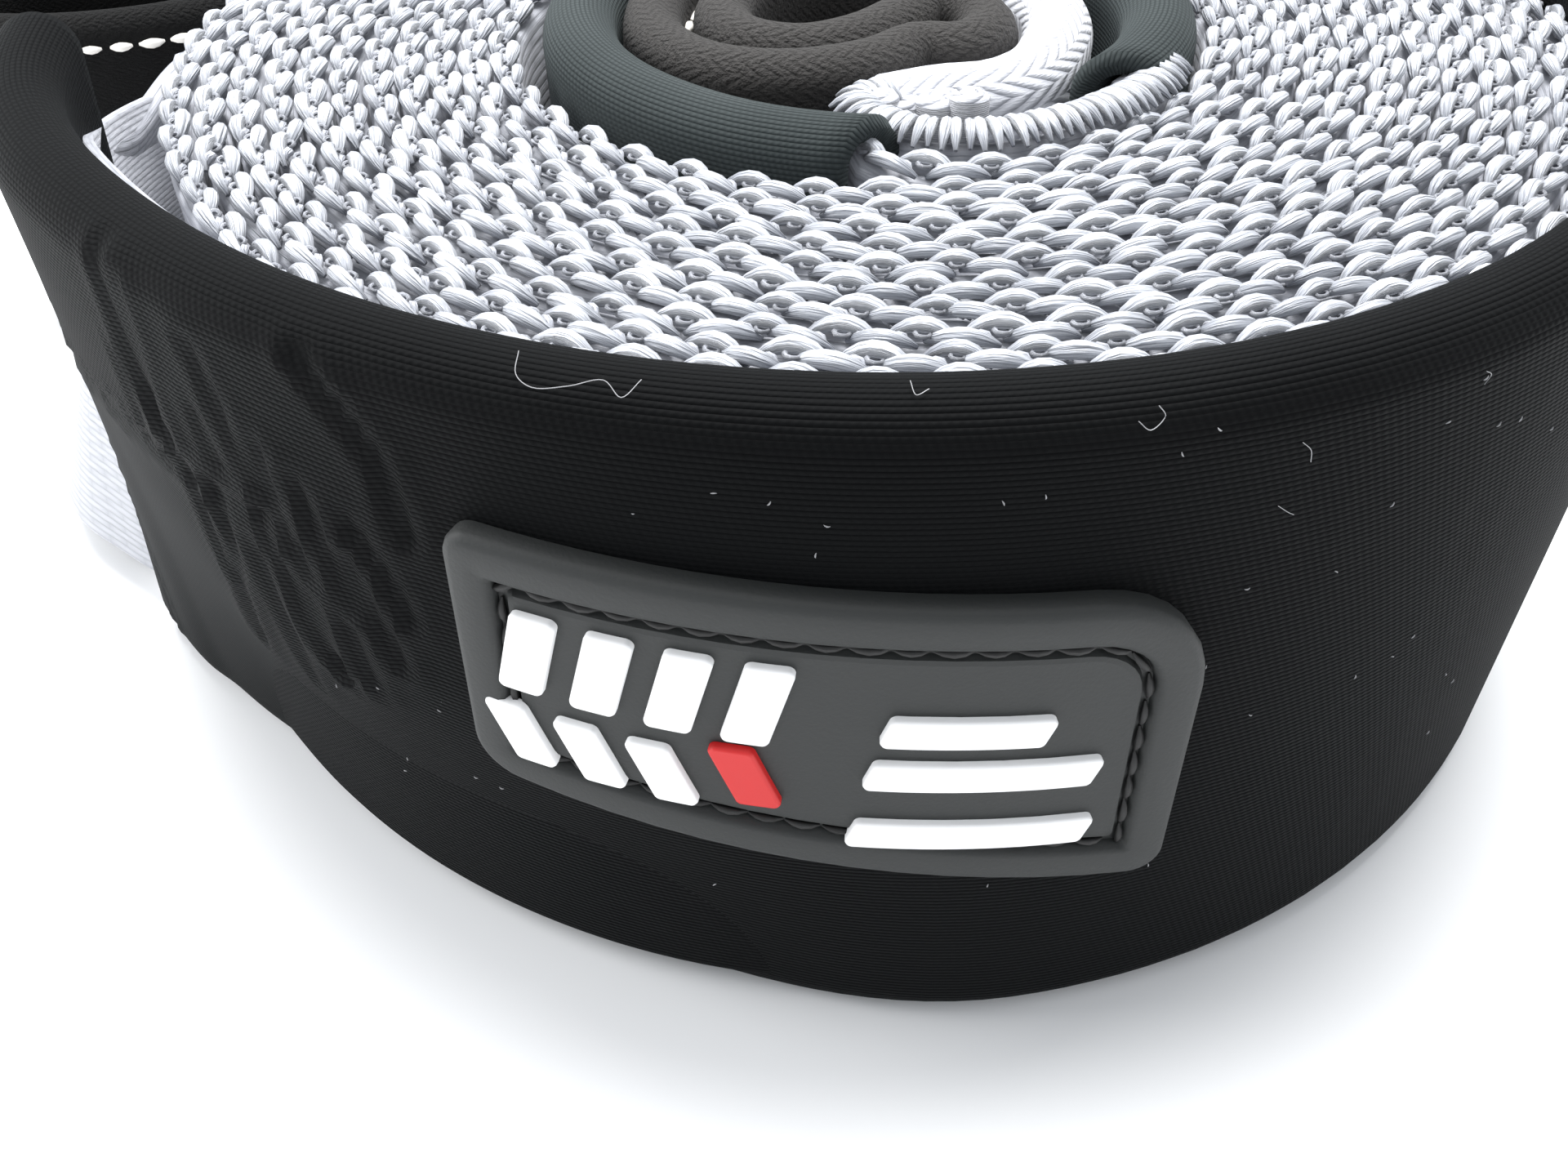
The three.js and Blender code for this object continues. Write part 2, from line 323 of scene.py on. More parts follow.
def bulge_stations():
    start = turn_radius(LAST_TURN_ANGLE)
    base = COIL_RADIUS - WEBBING_THICKNESS / 2
    rows = [(angle, max(base + low, start), max(base + high, start), drop)
            for angle, low, high, drop in BULGE]
    rows.append((SLEEVED_FROM, OUTER_SLEEVE_RADIUS, OUTER_SLEEVE_RADIUS + BULGE_TOP_LEAN, 0))
    rows = through(rows, 8)
    lift = SLEEVE_LIFT * smooth(rows[:, 0], PEEL_ANGLE, 190)
    stations = polar_stations(rows[:, 0], rows[:, 1], rows[:, 2], lift)
    stations[:, 1, 2] -= rows[:, 3]
    return stations


def sleeve_turn_stations():
    angles = np.arange(SLEEVED_FROM, SLEEVED_TO + ARC_END, SLEEVED_STEP)
    return polar_stations(angles, OUTER_SLEEVE_RADIUS, OUTER_SLEEVE_RADIUS, SLEEVE_LIFT)


def outer_eye_stations():
    points = through(OUTER_EYE_ROUTE, 8)
    share = smooth(-points[:, 0], 0, 62)
    lift = SLEEVE_LIFT + (GUARD_LIFT - SLEEVE_LIFT) * share
    return upright_stations(points, lift, WEBBING_WIDTH + (OUTER_EYE_WIDTH - WEBBING_WIDTH) * share)


inner_sleeve_path = polar_stations(np.arange(-39, 268 + ARC_END, SLEEVED_STEP),
                                   INNER_SLEEVE_RADIUS, INNER_SLEEVE_RADIUS, SLEEVE_LIFT)
inner_eye_path = upright_stations(through(INNER_EYE_ROUTE, 8), GUARD_LIFT)
bulge_path = bulge_stations()
outer_eye_path = outer_eye_stations()
strap_path = np.concatenate([inner_sleeve_path, first_turn_stations()[1:], spiral_stations()[1:],
                             bulge_path, sleeve_turn_stations()[1:], outer_eye_path[1:]])
print("the strap's path is", round(lengths(strap_path)[-1] * MM, 2), "m long, with turns",
      round(PITCH, 2), "mm apart")

# %% [markdown]
# A band, a sleeve and a guard are all one cross-section carried along such a path. The sweep below
# lays a ring of points at each station and joins the rings with faces. It also writes a UV map in
# millimetres, with the length along the strap and the way round the section, because a weave has to
# follow the cloth.

# %% Sweeping a section along a path
UV_NAME = "cloth"
SEAM_START = 0.02
SEAM_END = 0.9


def section_points(stations, section):
    """A section's rows are: sideways, share of the way from the lower to the upper edge, and upwards."""
    section = np.asarray(section, float)
    ahead, side, up = axes_of(stations)
    low, high = stations[:, 0], stations[:, 1]
    return (low[:, None] + (high - low)[:, None] * section[None, :, 1:2]
            + side[:, None] * section[None, :, 0:1] + up[:, None] * section[None, :, 2:3])


def ring_faces(rings, count, first=0, flip=False):
    faces = []
    for i in range(rings - 1):
        for k in range(count):
            a = first + i * count + k
            b = first + i * count + (k + 1) % count
            quad = (a, a + count, b + count, b)
            faces.append(quad[::-1] if flip else quad)
    return faces


def write_cloth_map(mesh, uv_of_point, round_trip):
    """UV from each point's length and way round, unwrapped at the section's seam."""
    layer = mesh.uv_layers.new(name=UV_NAME)
    corners = np.empty(len(mesh.loops), int)
    mesh.loops.foreach_get("vertex_index", corners)
    uv = uv_of_point[corners].copy()
    starts = np.empty(len(mesh.polygons), int)
    totals = np.empty(len(mesh.polygons), int)
    mesh.polygons.foreach_get("loop_start", starts)
    mesh.polygons.foreach_get("loop_total", totals)
    face_of = np.repeat(np.arange(len(starts)), totals)
    order = np.concatenate([np.arange(s, s + t) for s, t in zip(starts, totals)])
    high = np.full(len(starts), -1e9)
    np.maximum.at(high, face_of, uv[order, 1])
    wrapped = (uv[order, 1] < round_trip * SEAM_START) & (high[face_of] > round_trip * SEAM_END)
    uv[order[wrapped], 1] += round_trip
    layer.data.foreach_set("uv", uv.ravel())


def round_length(section):
    section = np.asarray(section, float)
    flat = np.column_stack([section[:, 0], section[:, 1] * WEBBING_WIDTH + section[:, 2]])
    steps = np.linalg.norm(np.roll(flat, -1, 0) - flat, axis=1)
    return np.concatenate([[0], np.cumsum(steps)])


def smooth_object(name, points, faces, material):
    """A smooth mesh from points in millimetres about the roll's axis."""
    made = mesh_object(name, (points + AXIS) * MM, faces, material)
    made.data.polygons.foreach_set("use_smooth", [True] * len(made.data.polygons))
    return made


def cloth_object(name, points, faces, material, uv, round_trip):
    """A smooth mesh with a cloth map, whose seam comes after one trip round the section."""
    made = smooth_object(name, points, faces, material)
    write_cloth_map(made.data, uv, round_trip)
    made.data.update()
    return made


def swept_band(name, stations, section, material):
    """A closed band with one section along its whole path."""
    rings, count = len(stations), len(section)
    points = section_points(stations, section).reshape(-1, 3)
    faces = ring_faces(rings, count)
    faces.append(tuple(range(count)))
    faces.append(tuple((rings - 1) * count + k for k in reversed(range(count))))
    around = round_length(section)
    uv = np.stack([np.repeat(lengths(stations), count), np.tile(around[:-1], rings)], 1)
    return cloth_object(name, points, faces, material, uv, around[-1])


def joined(name, *objects):
    """One object of several, with the first one's name changed."""
    with bpy.context.temp_override(active_object=objects[0], selected_editable_objects=list(objects)):
        bpy.ops.object.join()
    objects[0].name = name
    objects[0].data.name = name
    return objects[0]

# %% [markdown]
# The webbing is woven from thick light yarns. Seen on its broad side it is a field of short floats,
# each row half a float behind the next one. The shader works that pattern out from the cloth map:
# a row number across the strap, a place along the float, and from both a height for the bump.

# %% The woven webbing's material
FLOAT_PERIOD = 6.9
FACE_RIB = 1.35


def calc(tree, operation, first, second=0.0, third=None):
    """The result of a sum, whose terms are values or sockets."""
    terms = (first, second) if third is None else (first, second, third)
    return shader_node(tree, "ShaderNodeMath", dict(enumerate(terms)), operation=operation).outputs[0]


def times(tree, first, second):
    return calc(tree, "MULTIPLY", first, second)


def arch(tree, place):
    """Rises from 0 to 1 and falls back as the place goes from one whole number to the next."""
    return calc(tree, "SINE", times(tree, place, math.pi))


def vector_of(tree, x=0.0, y=0.0, z=0.0):
    return shader_node(tree, "ShaderNodeCombineXYZ", {"X": x, "Y": y, "Z": z}).outputs[0]


def colour_between(tree, share, low, high):
    return shader_node(tree, "ShaderNodeMix", {"Factor": share, "A": (*low, 1), "B": (*high, 1)},
                       data_type="RGBA").outputs["Result"]


def bump(tree, height, distance, strength=1.0, under=None):
    inputs = {"Height": height, "Distance": distance, "Strength": strength}
    if under is not None:
        inputs["Normal"] = under
    return shader_node(tree, "ShaderNodeBump", inputs).outputs["Normal"]


def cloth_axes(tree):
    cloth = shader_node(tree, "ShaderNodeUVMap", uv_map=UV_NAME)
    parts = shader_node(tree, "ShaderNodeSeparateXYZ", {"Vector": cloth.outputs["UV"]})
    return parts.outputs["X"], parts.outputs["Y"]


def noise(tree, vector, scale=1.0, detail=2.0):
    return shader_node(tree, "ShaderNodeTexNoise",
                       {"Vector": vector, "Scale": scale, "Detail": detail}).outputs["Fac"]


def cloth_noise(tree, along, around, along_scale, around_scale, detail=2.0):
    """Noise on the cloth map, with a scale of its own each way."""
    vector = vector_of(tree, times(tree, along, along_scale), times(tree, around, around_scale))
    return noise(tree, vector, 1.0, detail)


def webbing_face_material():
    material, tree, shader = new_material("woven_webbing")
    along, around = cloth_axes(tree)
    row_place = calc(tree, "DIVIDE", around, FACE_RIB)
    row = calc(tree, "FLOOR", row_place)
    across = calc(tree, "FRACT", row_place)
    shifted = calc(tree, "MULTIPLY_ADD", row, 0.5, calc(tree, "DIVIDE", along, FLOAT_PERIOD))
    place = calc(tree, "FRACT", shifted)
    swell = calc(tree, "POWER", arch(tree, place), 0.5)
    height = times(tree, calc(tree, "POWER", arch(tree, across), 0.6),
                   calc(tree, "MULTIPLY_ADD", swell, 0.7, 0.3))
    fibres = cloth_noise(tree, along, around, 0.25, 6.0)
    blotch = cloth_noise(tree, along, around, 0.05, 0.05)
    # The weave's height also sets the colour: painted shade, darker in the grooves between the floats and
    # lighter on their crowns. The blotches are tone that differs at random.
    share = calc(tree, "MULTIPLY_ADD", blotch, 0.25, times(tree, height, 0.8))
    set_inputs(tree, shader, {
        "Base Color": colour_between(tree, share, (0.24, 0.25, 0.28), (0.44, 0.45, 0.49)),
        "Roughness": 0.5, "Sheen Weight": 0.15,
        "Normal": bump(tree, height, 0.00013, 1.0, bump(tree, fibres, 0.00012))})
    return material


webbing_face = webbing_face_material()

# %% The band of the webbing
BAND_HALF = WEBBING_THICKNESS / 2
EDGE_DROP = 1.2


def band_half(side, edge):
    """One face of the band and the edge after it, in the order in which they go round."""
    way = 2 * edge - 1
    face = [(side * BAND_HALF, 1 - edge, way * 3.6)]
    face += [(side * BAND_HALF, share, 0) for share in ((0.2, 0.5, 0.8) if edge else (0.8, 0.5, 0.2))]
    face += [(side * BAND_HALF, edge, -way * 3.6)]
    return face + [(side * 1.2, edge, -way * (EDGE_DROP + 1.5)), (0, edge, -way * (EDGE_DROP + 1.1)),
                   (-side * 1.2, edge, -way * (EDGE_DROP + 1.5))]


band_section = band_half(1, 1) + band_half(-1, 0)
strap_band = swept_band("strap_band", evenly(strap_path, 2.5), band_section, webbing_face)
print("the band has", len(strap_band.data.polygons), "faces")


# %% The turn that has begun to lift off the roll
LIFTED_FOOT = 16.0
# Each row is an angle, the radii of the upper and the lower edge, and the upper edge's height.
lifted_rows = through([(172, 98.0, 107.0, 60.0), (190, 93.6, 103.0, 68.0), (204, 89.8, 98.0, 74.6),
                       (218, 86.2, 91.5, 75.4), (238, 83.8, 84.8, 75.0)], 8)
lifted_way = polar_stations(lifted_rows[:, 0], lifted_rows[:, 2], lifted_rows[:, 1], LIFTED_FOOT)
lifted_way[:, 1, 2] = lifted_rows[:, 3]
lifted_section = [(0.5, 0, 0), (0.5, 0.5, 0), (0.5, 1, 0), (-0.5, 1, 0), (-0.5, 0.5, 0), (-0.5, 0, 0)]
lifted_turn = swept_band("lifted_turn", evenly(lifted_way, 2.0), lifted_section, webbing_face)


# %% Closed tubes and rounded sections
def stadium(half, lift, arc_steps, face_steps):
    """A section with two flat faces and round edges, which reach a lift beyond the strap's edges."""
    centre = lift - half

    def arc(edge, begin, end, steps):
        return [(half * math.cos(a), edge, (2 * edge - 1) * centre + half * math.sin(a))
                for a in np.linspace(begin * math.pi, end * math.pi, steps, endpoint=False)]

    def face(side, begin, end):
        return [(side * half, share, centre * (2 * share - 1))
                for share in np.linspace(begin, end, face_steps, endpoint=False)]

    return (arc(0, -0.5, 0, arc_steps // 2) + face(1, 0, 1) + arc(1, 0, 1, arc_steps)
            + face(-1, 1, 0) + arc(0, 1, 1.5, arc_steps // 2))


def swept_tube(name, stations, half, wall, lift, material, arc_steps=16, face_steps=24, shape=None):
    """A tube with its wall, open at both ends. shape moves its outer and inner points."""
    outer = stadium(half, lift, arc_steps, face_steps)
    inner = stadium(half - wall, lift - wall, arc_steps, face_steps)
    rings, count = len(stations), len(outer)
    outer_points = section_points(stations, outer)
    inner_points = section_points(stations, inner)
    if shape is not None:
        outer_points, inner_points = shape(stations, outer, outer_points, inner_points)
    ahead = axes_of(stations)[0]
    lip = wall * 0.35
    first = (outer_points[0] + inner_points[0]) / 2 - ahead[0] * lip
    last = (outer_points[-1] + inner_points[-1]) / 2 + ahead[-1] * lip
    points = np.concatenate([outer_points.reshape(-1, 3), inner_points.reshape(-1, 3), first, last])
    offset = rings * count
    end = offset - count
    faces = ring_faces(rings, count) + ring_faces(rings, count, offset, flip=True)
    lip_first, lip_last = 2 * offset, 2 * offset + count
    for k in range(count):
        n = (k + 1) % count
        faces += [(here + k, there + k, there + n, here + n) for here, there in (
            (lip_first, 0), (offset, lip_first), (end, lip_last), (lip_last, offset + end))]
    around = round_length(outer)
    along = lengths(stations)
    uv = np.stack([np.repeat(along, count), np.tile(around[:-1], rings)], 1)
    lips = [np.stack([np.full(count, end), around[:-1]], 1) for end in (along[0] - lip, along[-1] + lip)]
    return cloth_object(name, points, faces, material, np.concatenate([uv, uv, *lips]), around[-1])


# %% [markdown]
# The edge of the webbing is what the photograph shows most of. Each face's yarns come round the edge
# as smooth almond-shaped floats, one row on each side and half a period apart, and small loops of
# the weft stand between the rows. A Geometry Nodes tree builds one float and one loop from short
# curves and sets them on points along the edge.

# %% The yarns along an edge
HALF_PERIOD = FLOAT_PERIOD / 2
YARN_YAW = 9.0
YAW_SCATTER = 5
SWAY_SCATTER = 0.12


def yarn_points(name, points, ahead, rise, seed):
    """A mesh of bare points with the directions that the yarns need."""
    draw = random.Random(seed)
    points, ahead, rise = (np.broadcast_to(np.asarray(values, float), np.shape(points))
                           for values in (points, ahead, rise))
    mesh = bpy.data.meshes.new(name)
    mesh.from_pydata([tuple((point + AXIS) * MM) for point in points], [], [])
    flip = np.where(np.arange(len(points)) % 2 == 0, 1.0, -1.0)
    vectors = {"forward": ahead, "float_ahead": ahead * flip[:, None], "rise": rise}
    for label, values in vectors.items():
        mesh.attributes.new(label, "FLOAT_VECTOR", "POINT").data.foreach_set("vector", values.ravel())
    tint = [draw.random() for _ in points]
    mesh.attributes.new("tint", "FLOAT", "POINT").data.foreach_set("value", tint)
    made = bpy.data.objects.new(name, mesh)
    bpy.context.collection.objects.link(made)
    return made


def edge_points(name, stations, upper, seed):
    even = evenly(stations, HALF_PERIOD)
    ahead, side, up = axes_of(even)
    way = 1 if upper else -1
    draw = np.random.default_rng(seed)
    yaw = np.radians(YARN_YAW + draw.normal(0, YAW_SCATTER, len(even)))[:, None]
    sway = side * draw.normal(0, SWAY_SCATTER, len(even))[:, None]
    twisted = ahead * np.cos(yaw) + side * np.sin(yaw)
    places = even[:, int(upper)] + sway - up * way * EDGE_DROP
    return yarn_points(name, places, twisted, up * way, seed)


def new_node_tree(name, inputs):
    """A Geometry Nodes tree with a geometry in and out, and named number inputs in metres."""
    tree = bpy.data.node_groups.new(name, "GeometryNodeTree")
    tree.interface.new_socket("Geometry", in_out="INPUT", socket_type="NodeSocketGeometry")
    for label, value in inputs.items():
        kind = "NodeSocketMaterial" if value is None else "NodeSocketFloat"
        socket = tree.interface.new_socket(label, in_out="INPUT", socket_type=kind)
        if value is not None:
            socket.default_value = value
    tree.interface.new_socket("Geometry", in_out="OUTPUT", socket_type="NodeSocketGeometry")
    return tree, tree.nodes.new("NodeGroupInput").outputs, tree.nodes.new("NodeGroupOutput").inputs[0]


def read_attribute(tree, name, kind="FLOAT_VECTOR"):
    return shader_node(tree, "GeometryNodeInputNamedAttribute", {"Name": name},
                       data_type=kind).outputs["Attribute"]


def made_curve(tree, kind, **inputs):
    return shader_node(tree, "GeometryNodeCurve" + kind, inputs).outputs["Curve"]


def geometry(tree, kind, inputs, **settings):
    return shader_node(tree, "GeometryNode" + kind, inputs, **settings).outputs["Geometry"]


def yarn_tube(tree, path, thickness, sides, tip):
    """A tube along a curve that swells from its tips to its middle, with its own map for the fibres."""
    place = tree.nodes.new("GeometryNodeSplineParameter").outputs["Factor"]
    radius = times(tree, thickness, calc(tree, "MULTIPLY_ADD", arch(tree, place), 1 - tip, tip))
    ring = made_curve(tree, "PrimitiveCircle", Resolution=sides, Radius=1.0)
    round_place = tree.nodes.new("GeometryNodeSplineParameter").outputs["Factor"]
    along, around = (
        geometry(tree, "StoreNamedAttribute", {"Geometry": curve, "Name": label, "Value": value},
                 domain="POINT")
        for curve, label, value in ((path, "yarn_along", place), (ring, "yarn_around", round_place)))
    tube = shader_node(tree, "GeometryNodeCurveToMesh", {
        "Curve": along, "Profile Curve": around, "Scale": radius, "Fill Caps": True})
    return tube.outputs["Mesh"]


def finish_instances(tree, inputs, shape, ahead, size, output):
    """Sets a shape on every point, turned by the point's directions and sized by its tint."""
    smallest, spread = size
    scale = calc(tree, "MULTIPLY_ADD", read_attribute(tree, "tint", "FLOAT"), spread, smallest)
    rotation = shader_node(tree, "FunctionNodeAxesToRotation", {
        "Primary Axis": read_attribute(tree, "rise"), "Secondary Axis": read_attribute(tree, ahead),
    }, primary_axis="Z", secondary_axis="X").outputs["Rotation"]
    placed = shader_node(tree, "GeometryNodeInstanceOnPoints", {
        "Points": inputs["Geometry"], "Instance": shape, "Rotation": rotation,
        "Scale": vector_of(tree, scale, scale, scale)}).outputs["Instances"]
    real = geometry(tree, "RealizeInstances", {"Geometry": placed})
    soft = geometry(tree, "SetShadeSmooth", {"Geometry": real})
    dressed = geometry(tree, "SetMaterial", {"Geometry": soft, "Material": inputs["Material"]})
    tree.links.new(dressed, output)


def float_tree(name, steps, sides):
    tree, inputs, output = new_node_tree(name, {
        "Float length": 6.5 * MM, "Float thickness": 0.84 * MM, "Side root": 0.25 * MM,
        "Side bulge": 0.72 * MM, "Root depth": -0.8 * MM, "Rise": 1.2 * MM, "Material": None})
    half = times(tree, inputs["Float length"], 0.5)
    middle = vector_of(
        tree, 0.0, calc(tree, "MULTIPLY_ADD", inputs["Side bulge"], 2.0, inputs["Side root"]),
        calc(tree, "MULTIPLY_ADD", inputs["Rise"], 2.0, inputs["Root depth"]))
    start = vector_of(tree, times(tree, half, -1.0), inputs["Side root"], inputs["Root depth"])
    end = vector_of(tree, half, inputs["Side root"], inputs["Root depth"])
    path = made_curve(tree, "QuadraticBezier", Resolution=steps, Start=start, Middle=middle, End=end)
    shape = yarn_tube(tree, path, inputs["Float thickness"], sides, 0.32)
    finish_instances(tree, inputs, shape, "float_ahead", (0.92, 0.16), output)
    return tree


def loop_tree(name, steps, sides):
    tree, inputs, output = new_node_tree(name, {
        "Loop radius": 0.5 * MM, "Loop thickness": 0.24 * MM, "Loop stretch": 1.4, "Knot length": 1.8 * MM,
        "Knot thickness": 0.5 * MM, "Step": HALF_PERIOD * MM, "Material": None})
    ring = made_curve(tree, "PrimitiveCircle", Resolution=steps, Radius=inputs["Loop radius"])
    stretched = geometry(tree, "Transform", {
        "Geometry": ring, "Translation": vector_of(tree, 0.0, 0.0, 0.1 * MM),
        "Scale": vector_of(tree, inputs["Loop stretch"], 1.0, 1.0)})
    loop = yarn_tube(tree, stretched, inputs["Loop thickness"], sides, 0.75)
    half = times(tree, inputs["Knot length"], 0.5)
    centre = times(tree, inputs["Step"], 0.5)
    start = vector_of(tree, calc(tree, "SUBTRACT", centre, half), 0.35 * MM, -0.5 * MM)
    middle = vector_of(tree, centre, 0.0, 0.7 * MM)
    end = vector_of(tree, calc(tree, "ADD", centre, half), -0.35 * MM, -0.5 * MM)
    bend = made_curve(tree, "QuadraticBezier", Resolution=3, Start=start, Middle=middle, End=end)
    knot = yarn_tube(tree, bend, inputs["Knot thickness"], sides, 0.4)
    both = tree.nodes.new("GeometryNodeJoinGeometry")
    for shape in (loop, knot):
        tree.links.new(shape, both.inputs[0])
    finish_instances(tree, inputs, both.outputs[0], "forward", (0.88, 0.24), output)
    return tree


def grown(points, *growths):
    """The plain meshes that trees grow on an object of points, which then goes.

    Each growth is a tree, a material, a name and any sizes that differ from the tree's own.
    """
    found = []
    for tree, material, name, *sizes in growths:
        made = bpy.data.objects.new(name, points.data.copy())
        bpy.context.collection.objects.link(made)
        modifier = made.modifiers.new(tree.name, "NODES")
        modifier.node_group = tree
        sockets = {item.name: item.identifier for item in tree.interface.items_tree
                   if item.in_out == "INPUT"}
        values = {"Material": material}
        values.update(*sizes)
        for label, value in values.items():
            modifier[sockets[label]] = value
        evaluated = made.evaluated_get(bpy.context.evaluated_depsgraph_get())
        mesh = bpy.data.meshes.new_from_object(evaluated)
        made.modifiers.clear()
        made.data = mesh
        mesh.name = name
        print(name, "has", sum(len(face.vertices) - 2 for face in mesh.polygons), "triangles")
        found.append(made)
    bpy.data.objects.remove(points)
    return found


def yarn_material(name, dark, light, shade):
    material, tree, shader = new_material(name)
    along, around, tint = (shader_node(tree, "ShaderNodeAttribute", attribute_name=label).outputs["Fac"]
                           for label in ("yarn_along", "yarn_around", "tint"))
    streaks = noise(tree, vector_of(tree, times(tree, along, 1.6), times(tree, around, 16.0),
                                    times(tree, tint, 40.0)))
    # Each float is painted lighter at its middle and darker at its tips, where it dips into the weave: a
    # painted highlight and painted shade. The streaks and the tint are tone that differs at random.
    share = calc(tree, "MULTIPLY_ADD", arch(tree, along), 0.5, shade)
    share = calc(tree, "MULTIPLY_ADD", streaks, 0.9, share)
    share = calc(tree, "MULTIPLY_ADD", tint, 0.25, share)
    set_inputs(tree, shader, {
        "Base Color": colour_between(tree, share, dark, light), "Roughness": 0.36, "Sheen Weight": 0.2,
        "Normal": bump(tree, streaks, 0.0005)})
    return material


webbing_yarn = yarn_material("webbing_yarn", (0.08, 0.09, 0.12), (0.57, 0.59, 0.63), -0.36)
loop_yarn = yarn_material("webbing_loop_yarn", (0.09, 0.10, 0.13), (0.58, 0.60, 0.66), -0.35)
roll_path = np.concatenate([first_turn_stations(), spiral_stations()[1:], bulge_path[1:22]])
floats = float_tree("edge_floats", 7, 8)
loops = loop_tree("edge_loops", 8, 5)
plain_floats = float_tree("plain_edge_floats", 4, 5)
plain_loops = loop_tree("plain_edge_loops", 6, 4)
upper_floats, upper_loops = grown(
    edge_points("upper_edge_points", roll_path, True, 11),
    (floats, webbing_yarn, "strap_upper_floats"), (loops, loop_yarn, "strap_upper_loops"))
lower_floats, lower_loops = grown(
    edge_points("lower_edge_points", roll_path, False, 12),
    (plain_floats, webbing_yarn, "strap_lower_floats"), (plain_loops, loop_yarn, "strap_lower_loops"))

# %% [markdown]
# The sleeves are neoprene faced with a fine knit. Its ribs run along the strap. The outer sleeve is
# gathered where it comes off the roll, so its face has a few long creases and a sewn seam.

# %% The neoprene's material
KNIT_PITCH = 0.55
KNIT_STITCH = 0.8
# This attribute marks where the ribs are flattened and where a painted reflection lightens the sleeve.
FLAT_AND_REFLECTION_PATCH = "flat_patch_and_painted_reflection"


def neoprene_material(name, dark, light, sheen):
    material, tree, shader = new_material(name)
    along, around = cloth_axes(tree)
    patch = shader_node(tree, "ShaderNodeAttribute", attribute_name=FLAT_AND_REFLECTION_PATCH).outputs["Fac"]
    row = calc(tree, "DIVIDE", around, KNIT_PITCH)
    rib = calc(tree, "ABSOLUTE", arch(tree, row))
    stitch = calc(tree, "SINE", calc(tree, "MULTIPLY_ADD", calc(tree, "FLOOR", row), math.pi / 2,
                                     times(tree, along, 2 * math.pi / KNIT_STITCH)))
    height = times(tree, calc(tree, "POWER", rib, 0.7), calc(tree, "MULTIPLY_ADD", stitch, 0.18, 0.82))
    height = times(tree, height, calc(tree, "SUBTRACT", 1.0, times(tree, patch, 0.85)))
    cloudy = cloth_noise(tree, along, around, 0.04, 0.06)
    share = calc(tree, "MULTIPLY_ADD", cloudy, 0.5, -0.15)
    # The marked patch is painted lighter: a painted reflection.
    share = calc(tree, "MULTIPLY_ADD", patch, 0.7, share)
    # The ribs' height also sets the colour: painted shade, darker in the grooves between the ribs. The
    # clouds are tone that differs at random.
    share = calc(tree, "MULTIPLY_ADD", height, 0.5, share)
    set_inputs(tree, shader, {
        "Base Color": colour_between(tree, share, dark, light), "Roughness": 0.72, "Sheen Weight": sheen,
        "Sheen Roughness": 0.45, "Sheen Tint": (0.75, 0.85, 0.85, 1), "Specular IOR Level": 0.06,
        "Normal": bump(tree, height, 0.00014)})
    return material


outer_neoprene = neoprene_material("black_neoprene", (0.0008, 0.0008, 0.0012),
                                   (0.0045, 0.005, 0.0052), 0.012)
inner_neoprene = neoprene_material("grey_neoprene", (0.014, 0.018, 0.0185), (0.055, 0.064, 0.065), 0.08)

# %% The outer sleeve
SLEEVE_HALF = TUBE_HOLLOW / 2 + SLEEVE_WALL
SLEEVE_STEPS = (16, 40)
# Each row is the angles of the lower and the upper edge, and then their radii.
sleeve_rows = through([
    (197.5, 188.5, 99.5, 97.5), (204, 199, 95.2, 96.6), (208.5, 207.5, 91.9, 94.6), (216, 216, 90.2, 92.4),
    (225, 225, 89.4, 90.8), (235, 235, 89.0, 89.8), (245, 245, 88.8, 89.2), (258, 258, 88.78, 88.9),
    (270, 270, 88.78, 88.78), (345, 345, 88.78, 88.78), (425, 425, 88.78, 88.78)], 24)


def leaning_stations(rows, lift):
    low = polar_stations(rows[:, 0], rows[:, 2], rows[:, 2], lift)[:, 0]
    high = polar_stations(rows[:, 1], rows[:, 3], rows[:, 3], lift)[:, 1]
    return np.stack([low, high], 1)


sleeve_way = leaning_stations(sleeve_rows, SLEEVE_LIFT)
CREASED_LENGTH = 96
sleeve_path = np.concatenate([evenly(sleeve_way, 1.3, 0, CREASED_LENGTH),
                              evenly(sleeve_way, 3.0, CREASED_LENGTH)[1:]])
# Creases, seam and hem lie at lengths along the sleeve and heights over the floor.
CREASES = [
    (1.0, [(50, 80), (49, 65), (50, 59)]), (0.8, [(52.5, 77), (50.5, 62), (52, 55), (52.3, 43)]),
    (0.6, [(62, 74), (65.5, 60), (67, 54)]), (1.0, [(76, 78), (80, 73), (82, 70), (83, 62)]),
    (0.8, [(67, 66), (68, 57), (69, 51)]), (0.8, [(71, 63), (72.7, 55), (74.2, 50)]),
    (0.9, [(57, 56), (54.7, 44), (49.2, 29)]), (0.9, [(64, 56), (65, 49), (66.4, 39), (69.5, 36)]),
    (0.8, [(67, 50.5), (68, 45), (68, 37)]), (0.9, [(75, 56), (76.6, 50), (78, 44)]),
    (0.8, [(76.6, 61), (79.7, 55), (80.7, 51)]), (0.5, [(58.5, 66), (59.5, 60)]),
    (0.6, [(61, 50), (61, 38), (60, 30)]), (0.6, [(72, 46), (73, 38)]), (0.4, [(45, 66), (44, 57)]),
]
SEAM = [(14, 50), (22, 51.6), (30, 53), (40, 54.3), (50, 55.4), (58, 55.6), (66, 56.5)]
HEM_INSET = 6.0
FOOT_SQUEEZE = 5.5
CREASE_DEPTH, CREASE_WIDTH = 0.62, 1.15
SEAM_DEPTH, SEAM_WIDTH, SEAM_BEADS = 0.6, 1.1, 4.2
HEM_DEPTH, HEM_WIDTH, HEM_BEADS = 0.5, 0.8, 3.6


